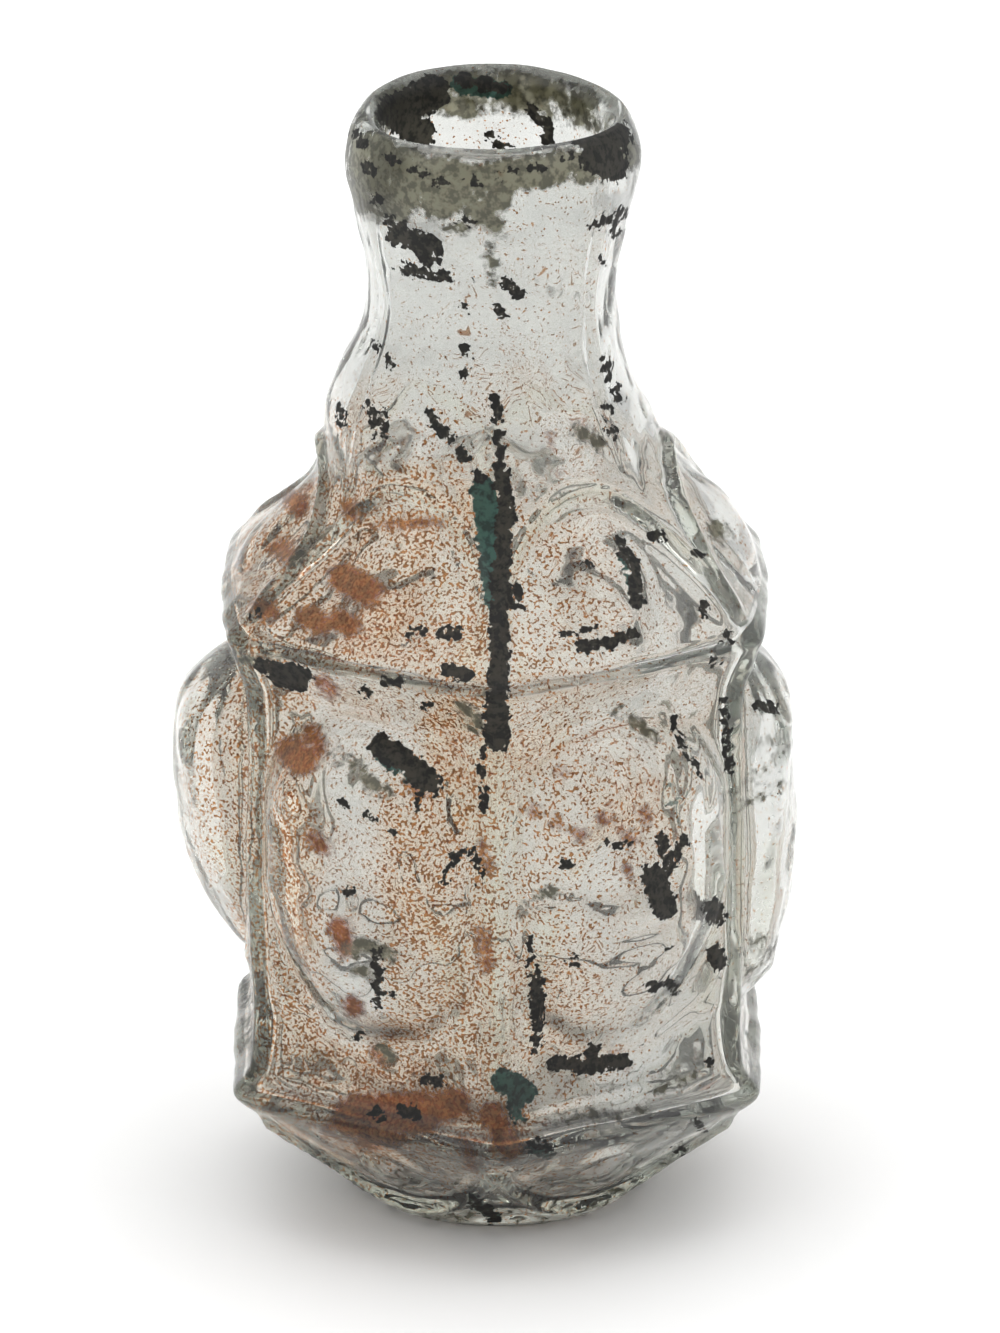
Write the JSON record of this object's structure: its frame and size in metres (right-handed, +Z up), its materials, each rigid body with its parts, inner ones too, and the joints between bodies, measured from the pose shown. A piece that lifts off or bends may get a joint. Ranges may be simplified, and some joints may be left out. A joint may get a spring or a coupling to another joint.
{
  "type": "glass flask",
  "caption": "Small hexagonal mould-blown glass flask with masks in relief on its panels, lunettes on the shoulder, a short neck and a folded lip, for oil or scent.",
  "frame": {"origin": "middle of the flask's outline, on the plane it stands on", "axes": "+Z up along the neck; -Y is the body corner between the two front panels; +X is the viewer's right"},
  "size_m": [0.0418, 0.04, 0.0764],
  "materials": {
    "weathered_glass": "clear greyish green glass, smooth, with rust-brown specks and dark weathering crust"
  },
  "bodies": {
    "root": {"glass_flask": "weathered_glass"}
  },
  "joints": []
}
